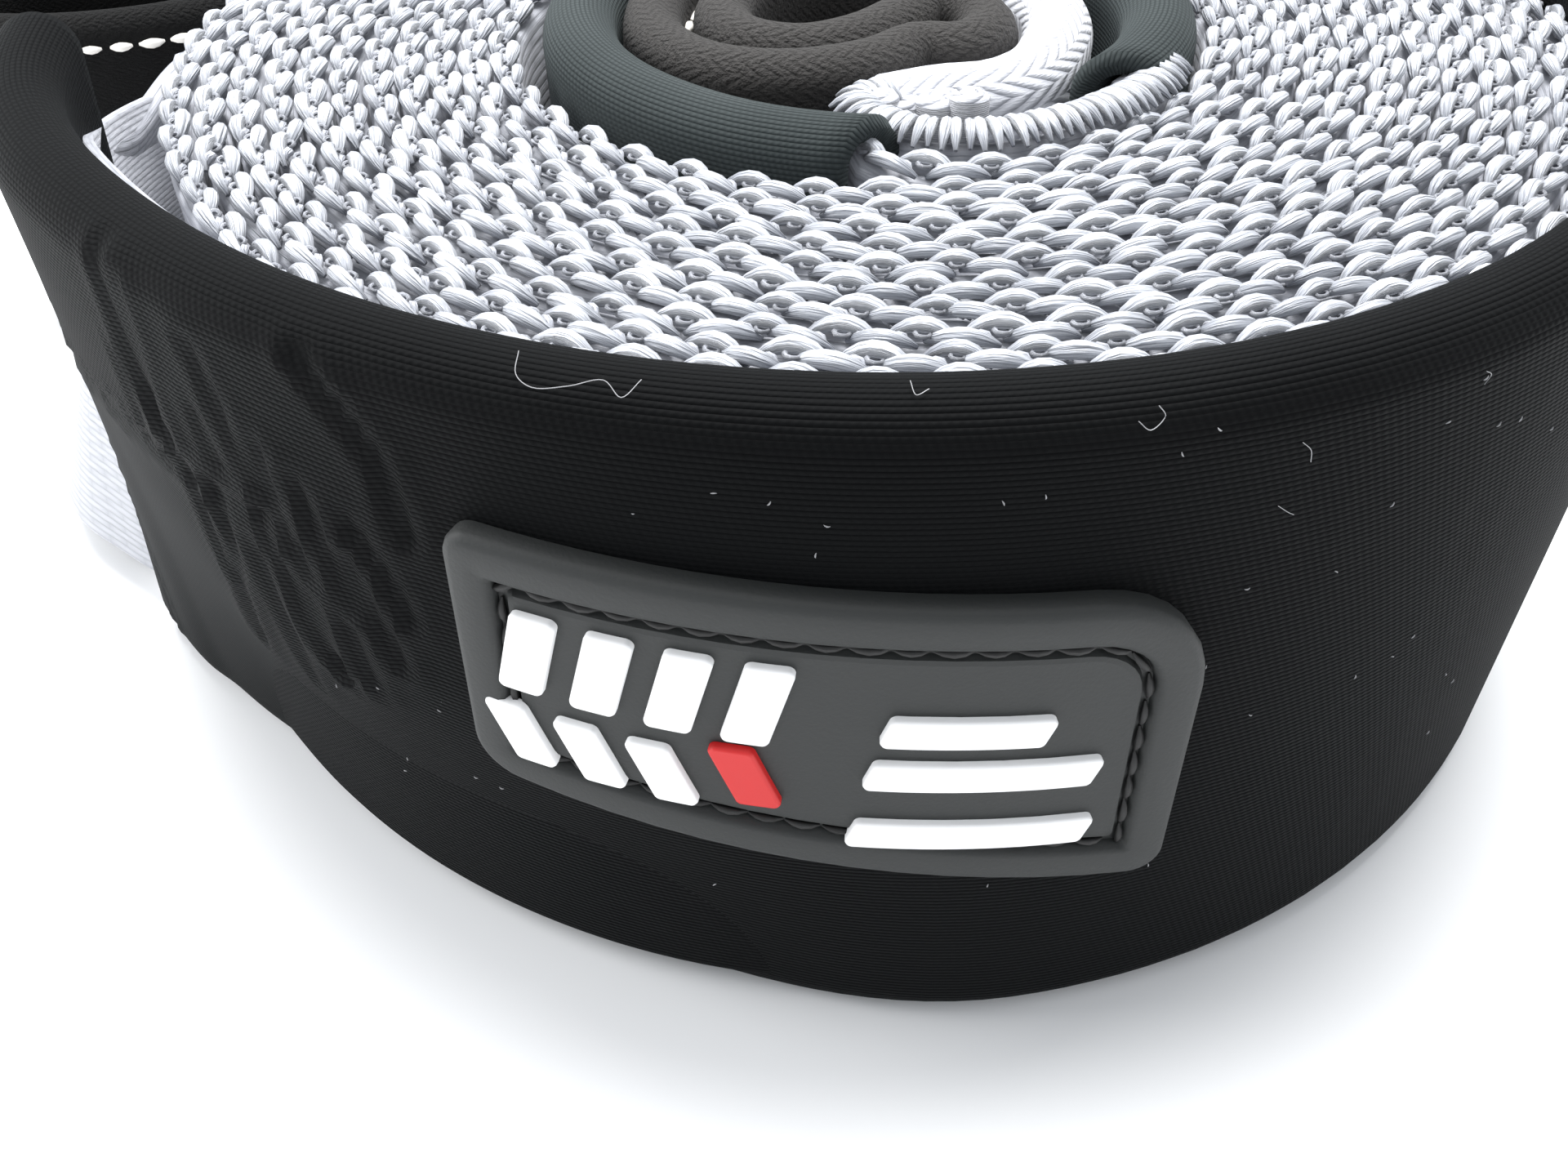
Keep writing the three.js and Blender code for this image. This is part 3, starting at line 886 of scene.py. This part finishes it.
def distance_to_line(x, y, line):
    nearest = np.full(x.shape, 1e9)
    for (x0, y0), (x1, y1) in zip(line, line[1:]):
        dx, dy = x1 - x0, y1 - y0
        t = np.clip(((x - x0) * dx + (y - y0) * dy) / (dx * dx + dy * dy), 0, 1)
        nearest = np.minimum(nearest, np.hypot(x - x0 - t * dx, y - y0 - t * dy))
    return nearest


def dent(distance, depth, width):
    """A groove with a low ridge beside it."""
    ridge = np.exp(-((distance - 1.9 * width) / width) ** 2)
    return depth * (0.6 * ridge - np.exp(-(distance / width) ** 2))


def beads(place, pitch):
    return 0.6 + 0.4 * np.sin(place * 2 * math.pi / pitch)


def sleeve_shape(stations, section, outer, inner):
    """Squeezes the sleeve's foot against the roll and presses the creases and the seam into its face."""
    along = np.broadcast_to(lengths(stations)[:, None], outer.shape[:2])
    height = outer[..., 2]
    angle = np.degrees(np.arctan2(outer[..., 1], outer[..., 0])) % 360
    sideways = (np.array([row[0] for row in section])[None] + SLEEVE_HALF) / (2 * SLEEVE_HALF)
    face = smooth(sideways, 0.6, 1.0)
    squeeze = FOOT_SQUEEZE * smooth(angle, 206, 226) * (1 - smooth(angle, 246, 280))
    move = -squeeze * (1 - smooth(height, 0, 45)) * sideways
    for depth, line in CREASES:
        move = move + face * dent(distance_to_line(along, height, line), CREASE_DEPTH * depth, CREASE_WIDTH)
    seam = dent(distance_to_line(along, height, SEAM), SEAM_DEPTH, SEAM_WIDTH)
    move = move + face * beads(along, SEAM_BEADS) * seam
    hem = dent(np.abs(along - HEM_INSET), HEM_DEPTH, HEM_WIDTH)
    move = move + face * beads(height, HEM_BEADS) * hem
    side = axes_of(stations)[1][:, None]
    return outer + side * move[..., None], inner


outer_sleeve = swept_tube("outer_sleeve_cloth", sleeve_path, SLEEVE_HALF, SLEEVE_WALL, SLEEVE_LIFT,
                          outer_neoprene, *SLEEVE_STEPS, sleeve_shape)


def mark_flat_and_reflection_patch(piece, share_of_point):
    piece.data.attributes.new(FLAT_AND_REFLECTION_PATCH, "FLOAT", "POINT").data.foreach_set("value", share_of_point)


# The face below the seam, near the hem, has lost its ribs, and it is painted lighter there: a painted
# reflection.
sleeve_section = stadium(SLEEVE_HALF, SLEEVE_LIFT, *SLEEVE_STEPS)
patch_along = np.repeat(lengths(sleeve_path), len(sleeve_section))
patch_height = section_points(sleeve_path, sleeve_section)[..., 2].ravel()
over_seam = patch_height - np.interp(patch_along, *zip(*SEAM))
flat_and_reflection_share = (1 - smooth(patch_along, 44, 52)) * (1 - smooth(over_seam, -1.5, 0.5))
flat_and_reflection_values = np.zeros(len(outer_sleeve.data.vertices))
flat_and_reflection_values[:len(flat_and_reflection_share)] = flat_and_reflection_share
mark_flat_and_reflection_patch(outer_sleeve, flat_and_reflection_values)

# %% The inner sleeve
inner_rows = through([
    (-38, -38, 34.6, 34.6), (-10, -10, 35.0, 35.0), (90, 90, 35.5, 35.5), (200, 200, 35.2, 35.4),
    (235, 235, 35.8, 36.2), (252, 252, 36.6, 37.2), (268.5, 268.5, 37.4, 38.0)], 24)
INNER_SLEEVE_DROP = 2.4
SLANT, SLANT_LENGTH = 2.3, 14
inner_way = evenly(leaning_stations(inner_rows, SLEEVE_LIFT), 2.6)
inner_way[:, 1, 2] -= INNER_SLEEVE_DROP


def slanted_ends(stations, section, outer, inner):
    """Cuts both ends at a slant: each runs on further on the side of the bore."""
    along = lengths(stations)
    ahead = axes_of(stations)[0][:, None]
    sideways = np.array([row[0] for row in section])[None, :, None] / SLEEVE_HALF
    near_start = (1 - smooth(along, 0, SLANT_LENGTH))[:, None, None]
    near_end = smooth(along, along[-1] - SLANT_LENGTH, along[-1])[:, None, None]
    shift = sideways * (SLANT * near_start - SLANT * near_end)
    return outer + ahead * shift, inner + ahead * shift


inner_sleeve = swept_tube("inner_sleeve_cloth", inner_way, SLEEVE_HALF, SLEEVE_WALL, SLEEVE_LIFT,
                          inner_neoprene, 16, 24, slanted_ends)
mark_flat_and_reflection_patch(inner_sleeve, np.zeros(len(inner_sleeve.data.vertices)))

# %% [markdown]
# The badge is a moulded rubber patch. Rings of points run round its outline, each a little further
# in, and give it a raised rim with a sewing groove. Its relief is a plain pattern of slanted bars.

# %% The badge
BADGE_CORNERS = [(-38, 37, 5), (27.5, 26, 3), (27, 62.5, 11), (-36.5, 66.5, 2.5)]
# Each row of a profile is an inset from the outline and a height over the sleeve's face.
BADGE_PROFILE = [(0, 0.0), (0, 1.6), (0.3, 2.3), (1.0, 2.6), (3.6, 2.6), (4.1, 2.3), (4.4, 1.3),
                 (5.3, 1.3), (5.6, 1.9), (6.1, 2.0)]
FIELD_HEIGHT = 2.0
BADGE_SINK = 0.4


def rounded_outline(corners, inset=0.0, arc_steps=8, edge_steps=12):
    """Points round a polygon, counter-clockwise, with its edges moved in and its corners rounded."""
    corners = np.asarray(corners, float)
    xy = corners[:, :2]
    ahead = unit(np.roll(xy, -1, 0) - xy)
    inward = np.column_stack([-ahead[:, 1], ahead[:, 0]])
    moved = []
    for k in range(len(xy)):
        a, b = (xy[k] + inward[k - 1] * inset, ahead[k - 1]), (xy[k] + inward[k] * inset, ahead[k])
        t = np.cross(b[0] - a[0], b[1]) / np.cross(a[1], b[1])
        moved.append(a[0] + a[1] * t)
    arcs = []
    for k, corner in enumerate(moved):
        radius = max(corners[k, 2] - inset, 0.5)
        before, after = -ahead[k - 1], ahead[k]
        half = math.acos(np.clip(before @ after, -1, 1)) / 2
        reach = radius / math.tan(half)
        start, end = corner + before * reach, corner + after * reach
        middle = corner + unit(before + after) * radius / math.sin(half)
        begin = math.atan2(*(start - middle)[::-1])
        turn = (math.atan2(*(end - middle)[::-1]) - begin + math.pi) % (2 * math.pi) - math.pi
        angles = begin + turn * np.linspace(0, 1, arc_steps)
        arcs.append((start, end, middle + radius * np.column_stack([np.cos(angles), np.sin(angles)])))
    found = []
    for k, (start, end, arc) in enumerate(arcs):
        following = arcs[(k + 1) % len(arcs)][0]
        shares = np.linspace(0, 1, edge_steps + 1, endpoint=False)[1:, None]
        found += [arc, end + (following - end) * shares]
    return np.concatenate(found)


def on_face(places, height, face=SLEEVE_FACE_RADIUS):
    """Points on the sleeve's round face from lengths along it and heights over the floor."""
    places = np.asarray(places, float)
    angle = math.radians(270) + places[:, 0] / face
    radius = face + height
    return np.column_stack([radius * np.cos(angle), radius * np.sin(angle), places[:, 1]])


def relief(name, corners, base, profile, material, grid=4.0):
    """A raised patch on the sleeve's face, from its corners and a profile of inset and height."""
    rings = [rounded_outline(corners, inset) for inset, height in profile]
    count = len(rings[0])
    points = np.concatenate([on_face(ring, base + height) for ring, (inset, height) in zip(rings, profile)])
    faces = ring_faces(len(rings), count)
    low, high = rings[-1].min(0), rings[-1].max(0)
    inside = [Vector((x, y)) for x in np.arange(low[0] + grid / 2, high[0], grid)
              for y in np.arange(low[1] + grid / 2, high[1], grid)
              if point_inside(x, y, rings[-1]) and np.hypot(*(rings[-1] - (x, y)).T).min() > grid * 0.3]
    flat = [Vector(point) for point in rings[-1]] + inside
    edges = [(k, (k + 1) % count) for k in range(count)]
    made, _, triangles, original, *_ = delaunay_2d_cdt(flat, edges, [], 1, 1e-5)
    numbers = [found[0] if found else None for found in original]
    offset = (len(rings) - 1) * count
    extra = on_face([tuple(v) for v in made], base + profile[-1][1])
    index = []
    grown_points = [points]
    total = len(points)
    for k, number in enumerate(numbers):
        if number is not None and number < count:
            index.append(offset + number)
        else:
            index.append(total)
            grown_points.append(extra[k:k + 1])
            total += 1
    faces += [tuple(index[v] for v in triangle) for triangle in triangles]
    piece = smooth_object(name, np.concatenate(grown_points), faces, material)
    piece.data.set_sharp_from_angle(angle=math.radians(50))
    return piece


def point_inside(x, y, outline):
    x0, y0 = outline.T
    x1, y1 = np.roll(outline, -1, 0).T
    crossing = ((y0 > y) != (y1 > y)) & (x < (x1 - x0) * (y - y0) / (y1 - y0 + 1e-12) + x0)
    return bool(crossing.sum() % 2)


def plain_material(name, colour, roughness, grain=0.0):
    material, tree, shader = new_material(name)
    set_inputs(tree, shader, {"Base Color": (*colour, 1), "Roughness": roughness})
    if grain:
        place = tree.nodes.new("ShaderNodeTexCoord").outputs["Object"]
        set_inputs(tree, shader, {"Normal": bump(tree, noise(tree, place, 2500.0), grain)})
    return material


badge_rubber = plain_material("badge_rubber", (0.013, 0.0148, 0.0144), 0.62, 0.00004)
white_rubber = plain_material("white_rubber", (0.88, 0.88, 0.88), 0.5)
red_rubber = plain_material("red_rubber", (0.55, 0.006, 0.006), 0.5)
black_thread = plain_material("black_thread", (0.004, 0.004, 0.004), 0.6)
badge_rows = [(inset, height + BADGE_SINK * (height > 0)) for inset, height in BADGE_PROFILE]
badge = relief("badge_patch", BADGE_CORNERS, -BADGE_SINK, badge_rows, badge_rubber)

BAR_PROFILE = [(0, -0.3), (0, 0.55), (0.12, 0.75), (0.35, 0.8)]


BAR_CORNER = 0.7
BAR_FALL = 0.06
BAR_PITCH, BAR_WIDTH = 6.6, 4.2
ROW_HEIGHT, ROW_SLANT = 3.4, 1.2


def bar(name, left, low, width, height, slant, material):
    """A slanted bar of the badge's relief."""
    fall = width * BAR_FALL
    corners = [(x, y, BAR_CORNER) for x, y in (
        (left, low), (left + width, low - fall), (left + width + slant, low + height - fall),
        (left + slant, low + height))]
    return relief(name, corners, FIELD_HEIGHT, BAR_PROFILE, material, 3.0)


white_bars = [bar("bar", -33.5 + BAR_PITCH * k, 49.8 - 0.5 * k, BAR_WIDTH, 9.4, 2.6, white_rubber)
              for k in range(4)]
white_bars += [bar("bar", -33.0 + BAR_PITCH * k, 40.2 - 0.6 * k, BAR_WIDTH, 7.4, -2.6, white_rubber)
               for k in range(3)]
white_bars += [bar("row", left, low, width, ROW_HEIGHT, ROW_SLANT, white_rubber)
               for left, low, width in ((-0.5, 48.6, 14.0), (-1.8, 43.0, 20.0), (-3.2, 35.0, 21.5))]
white_relief = joined("badge_white_relief", *white_bars)
red_relief = bar("badge_red_relief", -12.4, 40.0, BAR_WIDTH, 7.4, -2.6, red_rubber)

# %% The badge's thread
THREAD_INSET, THREAD_HEIGHT, THREAD_PITCH = 4.85, 1.75, 3.3
thread_ring = rounded_outline(BADGE_CORNERS, THREAD_INSET, 8, 30)
thread_ring = np.vstack([thread_ring, thread_ring[:1]])
ring_steps = np.linalg.norm(np.diff(thread_ring, axis=0), axis=1)
ring_length = np.concatenate([[0], np.cumsum(ring_steps)])
stitch_places = np.linspace(0, ring_length[-1], int(ring_length[-1] / THREAD_PITCH), endpoint=False)
thread_flat, thread_ends = (
    np.stack([np.interp(places, ring_length, thread_ring[:, k]) for k in (0, 1)], 1)
    for places in (stitch_places, stitch_places + 0.5))
thread_at = on_face(thread_flat, THREAD_HEIGHT)
thread_ahead = unit(on_face(thread_ends, THREAD_HEIGHT) - thread_at)
thread_rise = on_face(thread_flat, THREAD_HEIGHT + 1) - thread_at
STITCH_SIZES = {"Side root": 0.0, "Side bulge": 0.0, "Root depth": -0.3 * MM, "Rise": 0.35 * MM}
[badge_thread] = grown(
    yarn_points("thread_points", thread_at, thread_ahead, thread_rise, 21),
    (plain_floats, black_thread, "badge_thread",
     {"Float length": 3.2 * MM, "Float thickness": 0.42 * MM, **STITCH_SIZES}))

# %% [markdown]
# The guards of both eyes are textile tubes with a soft nap. White stitches close the eyes.

# %% The eye guards and their stitches


def herringbone_material(name, dark, light, knit, fuzz, depth, surface):
    """A cloth with zigzag ridges.

    knit is the height of a row, how far it leans, a stitch's length and the ridges' weight. fuzz is the
    noise's scales along and around, its detail and its weight. surface holds plain shader values.
    """
    material, tree, shader = new_material(name)
    along, around = cloth_axes(tree)
    row_height, lean, stitch_length, ridge_weight = knit
    *fuzz_scales, fuzz_weight = fuzz
    zigzag = calc(tree, "PINGPONG", calc(tree, "DIVIDE", around, row_height), 1.0)
    slant = calc(tree, "MULTIPLY_ADD", zigzag, lean, calc(tree, "DIVIDE", along, stitch_length))
    ridge = calc(tree, "ABSOLUTE", arch(tree, slant))
    fibres = times(tree, cloth_noise(tree, along, around, *fuzz_scales), fuzz_weight)
    # The ridges also set the colour: painted shade, darker in the grooves between them. The fibres' noise
    # is tone that differs at random.
    share = calc(tree, "MULTIPLY_ADD", ridge, ridge_weight, fibres)
    set_inputs(tree, shader, {"Base Color": colour_between(tree, share, dark, light),
                              "Normal": bump(tree, share, depth), **surface})
    return material


def textile_material(name, dark, light, sheen):
    return herringbone_material(
        name, dark, light, (1.5, 1.2, 1.7, 0.22), (2.5, 2.5, 4.0, 0.9), 0.0006,
        {"Roughness": 0.85, "Sheen Weight": sheen, "Specular IOR Level": 0.15})


grey_textile = textile_material("grey_textile", (0.006, 0.0055, 0.005), (0.055, 0.052, 0.05), 0.06)
black_textile = textile_material("black_textile", (0.0006, 0.0006, 0.0006), (0.006, 0.006, 0.006), 0.01)
white_thread = plain_material("white_thread", (0.85, 0.82, 0.76), 0.6)
INNER_GUARD_HALF = 3.7
OUTER_GUARD_HALF = 3.3
inner_guard = swept_tube("inner_eye_cloth", evenly(inner_eye_path, 2.0), INNER_GUARD_HALF, GUARD_WALL,
                         GUARD_LIFT, grey_textile, 14, 16)
outer_guard_path = evenly(outer_eye_path, 3.0, lengths(outer_eye_path)[-1] * 0.2)
outer_guard = swept_tube("outer_eye_cloth", outer_guard_path, OUTER_GUARD_HALF, GUARD_WALL,
                         GUARD_LIFT, black_textile, 14, 14)


def face_stitches(name, stations, out, drop, seed):
    """Points for stitches along one face of a guard, a fixed way under its upper edge."""
    even = evenly(stations, EYE_STITCH_PITCH)
    ahead, side, up = axes_of(even)
    return yarn_points(name, even[:, 1] + side * out - up * drop, ahead, side * np.sign(out), seed)


EYE_STITCH_PITCH = 4.3
LINE_SIZES = dict(STITCH_SIZES, **{"Float length": 3.6 * MM, "Float thickness": 0.8 * MM})
[outer_stitches] = grown(
    face_stitches("outer_line", outer_guard_path, -OUTER_GUARD_HALF - 0.2, 3.4, 31),
    (plain_floats, white_thread, "outer_eye_stitches", LINE_SIZES))
[inner_stitches] = grown(
    face_stitches("inner_line", inner_eye_path[30:90], -INNER_GUARD_HALF - 0.3, 4.0, 32),
    (plain_floats, white_thread, "inner_eye_stitches", LINE_SIZES))

# %% [markdown]
# Between its inner sleeve and its eye the strap is folded, so its end comes up as a thick soft band.

# %% The folded throat
FOLD_RISE = SLEEVE_LIFT - 1.4
folded_webbing = herringbone_material(
    "folded_webbing", (0.24, 0.25, 0.29), (0.70, 0.71, 0.75), (1.9, 1.3, 2.6, 0.7), (1.2, 5.0, 2.0, 0.4),
    0.0003, {"Roughness": 0.5, "Sheen Weight": 0.2})
throat_route = through([(1.4, -24.2), (7.6, -21.6), (13.3, -20.4), (18.4, -15.9), (22.0, -7.5),
                        (23.3, 1), (21.5, 9), (15.5, 16), (8, 19.6)], 8)
throat = swept_tube("folded_throat", evenly(upright_stations(throat_route, GUARD_LIFT), 2.0), 4.3, 1.6,
                    0.6, folded_webbing, 16, 14)
fold_route = through([(33.2, -17.5), (30.4, -23.2), (25.2, -28.6), (18.3, -33.0), (11.0, -35.4),
                      (3.6, -34.2), (-0.6, -30.6), (-1.4, -26.6), (1.8, -24.6)], 8)
fold_way = evenly(upright_stations(fold_route, FOLD_RISE), 1.25)
_, fold_side, fold_up = axes_of(fold_way)
fold_band = swept_band("fold_band", fold_way, band_section, webbing_face)
[fold_yarns] = grown(
    yarn_points("fold_points", fold_way[:, 1] - fold_up * 0.6, fold_side, fold_up, 41),
    (floats, webbing_yarn, "fold_yarns",
     {"Float length": 6.2 * MM, "Float thickness": 0.68 * MM, "Side root": 0.0, "Side bulge": 0.1 * MM}))

# %% The curls at the fold
CURL_TURNS = 1.6
CURL_SHRINK = 0.72
CURL_FOOT, CURL_HEIGHT = 66, 9.6
curl_section = [(0.75, 0, 0), (0.75, 1, -0.6), (0, 1, 0.2), (-0.75, 1, -0.6), (-0.75, 0, 0)]
curls = []
for k, (x, y, radius) in enumerate([(3.2, -26.6, 2.9), (7.2, -27.6, 2.4), (1.0, -27.4, 1.6),
                                    (10.4, -28.6, 1.7)]):
    turns = np.linspace(0, CURL_TURNS * 2 * math.pi, 26)
    reach = radius * (1 - turns / turns[-1] * CURL_SHRINK)
    centre = np.column_stack([x + reach * np.cos(turns + k), y + 0.7 * reach * np.sin(turns + k)])
    way = upright_stations(centre, CURL_FOOT + 0.5 * k, CURL_HEIGHT)
    curls.append(swept_band("curl", way, curl_section, folded_webbing))
fold_curls = joined("fold_curls", *curls)

# %% [markdown]
# The neoprene picks up lint: small pale specks and a few loose hairs.

# %% Lint and hairs
SPECK_COUNT = 70
HAIR_THICKNESS = 0.04
lint_draw = random.Random(7)
speck_flat = [(lint_draw.uniform(-60, 70), 12 + 66 * lint_draw.random() ** 0.6) for _ in range(SPECK_COUNT)]
speck_at = on_face(speck_flat, 0.02)
speck_rise = on_face(speck_flat, 1.02) - speck_at
speck_turn = np.array([lint_draw.uniform(0, math.pi) for _ in speck_flat])[:, None]
upwards = np.array((0, 0, 1))
speck_ahead = np.cross(speck_rise, upwards) * np.cos(speck_turn) + upwards * np.sin(speck_turn)
pale_lint = plain_material("pale_lint", (0.28, 0.28, 0.29), 0.8)
[specks] = grown(
    yarn_points("speck_points", speck_at, speck_ahead, speck_rise, 51),
    (plain_floats, pale_lint, "lint_specks",
     {"Float length": 0.5 * MM, "Float thickness": 0.07 * MM, "Side root": 0.0,
      "Side bulge": 0.05 * MM, "Root depth": 0.0, "Rise": 0.05 * MM}))


def hair(name, route):
    """A thin thread with three sides along a route of points."""
    points = through(route, 6)
    ahead = unit(np.gradient(points, axis=0))
    side = unit(np.cross(ahead, (0.3, 0.2, 1.0)))
    other = np.cross(ahead, side)
    rows = [points + side * HAIR_THICKNESS * math.cos(a) + other * HAIR_THICKNESS * math.sin(a)
            for a in np.radians((90, 210, 330))]
    rings = np.stack(rows, 1).reshape(-1, 3)
    return mesh_object(name, (rings + AXIS) * MM, ring_faces(len(points), 3), pale_lint)


# Each hair is a row of points: a length along the sleeve, a height over the floor and a way off it.
HAIRS = [
    [(-29.4, 81.5, -3.2), (-28.9, 80.6, -1.5), (-27.3, 80.2, -0.8), (-24.4, 80.6, -1.2),
     (-21.9, 81.0, -2.0), (-20.2, 80.4, -1.0), (-19.0, 81.2, -2.4)],
    [(1.2, 81.2, -4.2), (1.6, 80.9, -2.8), (2.6, 81.0, -3.4)],
    [(17.6, 79.4, -0.1), (18.6, 78.6, 0.1), (19.6, 79.6, -0.1), (19.2, 80.2, -0.6)],
    [(31.6, 75.0, 0.1), (32.6, 74.0, 0.1), (32.9, 72.8, 0.1)],
    [(31.0, 69.0, 0.1), (32.2, 68.0, 0.1), (32.8, 67.6, 0.1)],
    [(-60.0, 52.0, 0.4), (-58.8, 50.6, 0.4), (-58.2, 49.4, 0.4)],
    [(48.8, 76.6, 0.1), (49.6, 76.0, 0.1), (49.2, 75.2, 0.1)],
]
hairs = [hair("hair", [on_face([(along, height)], off)[0] for along, height, off in route])
         for route in HAIRS]
loose_hairs = joined("loose_hairs", *hairs)

# %% [markdown]
# Nothing on the strap swings or slides, so every piece rides on the one body. Each soft piece stands
# for the solid of the frame that it covers.

# %% Riding and replacing
STANDS_FOR = {
    ("webbing", "webbing"): (strap_band, upper_floats, upper_loops, lower_floats, lower_loops, throat,
                             fold_band, fold_yarns, fold_curls, lifted_turn),
    ("outer_sleeve", "outer_neoprene"): (outer_sleeve, specks, loose_hairs),
    ("inner_sleeve", "inner_neoprene"): (inner_sleeve,),
    ("badge", "badge_rubber"): (badge, white_relief, red_relief, badge_thread),
    ("outer_eye_guard", "black_textile"): (outer_guard, outer_stitches),
    ("inner_eye_guard", "grey_textile"): (inner_guard, inner_stitches),
}
for (node, slot), pieces in STANDS_FOR.items():
    for piece in pieces:
        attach(piece, "root")
        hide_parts(node)
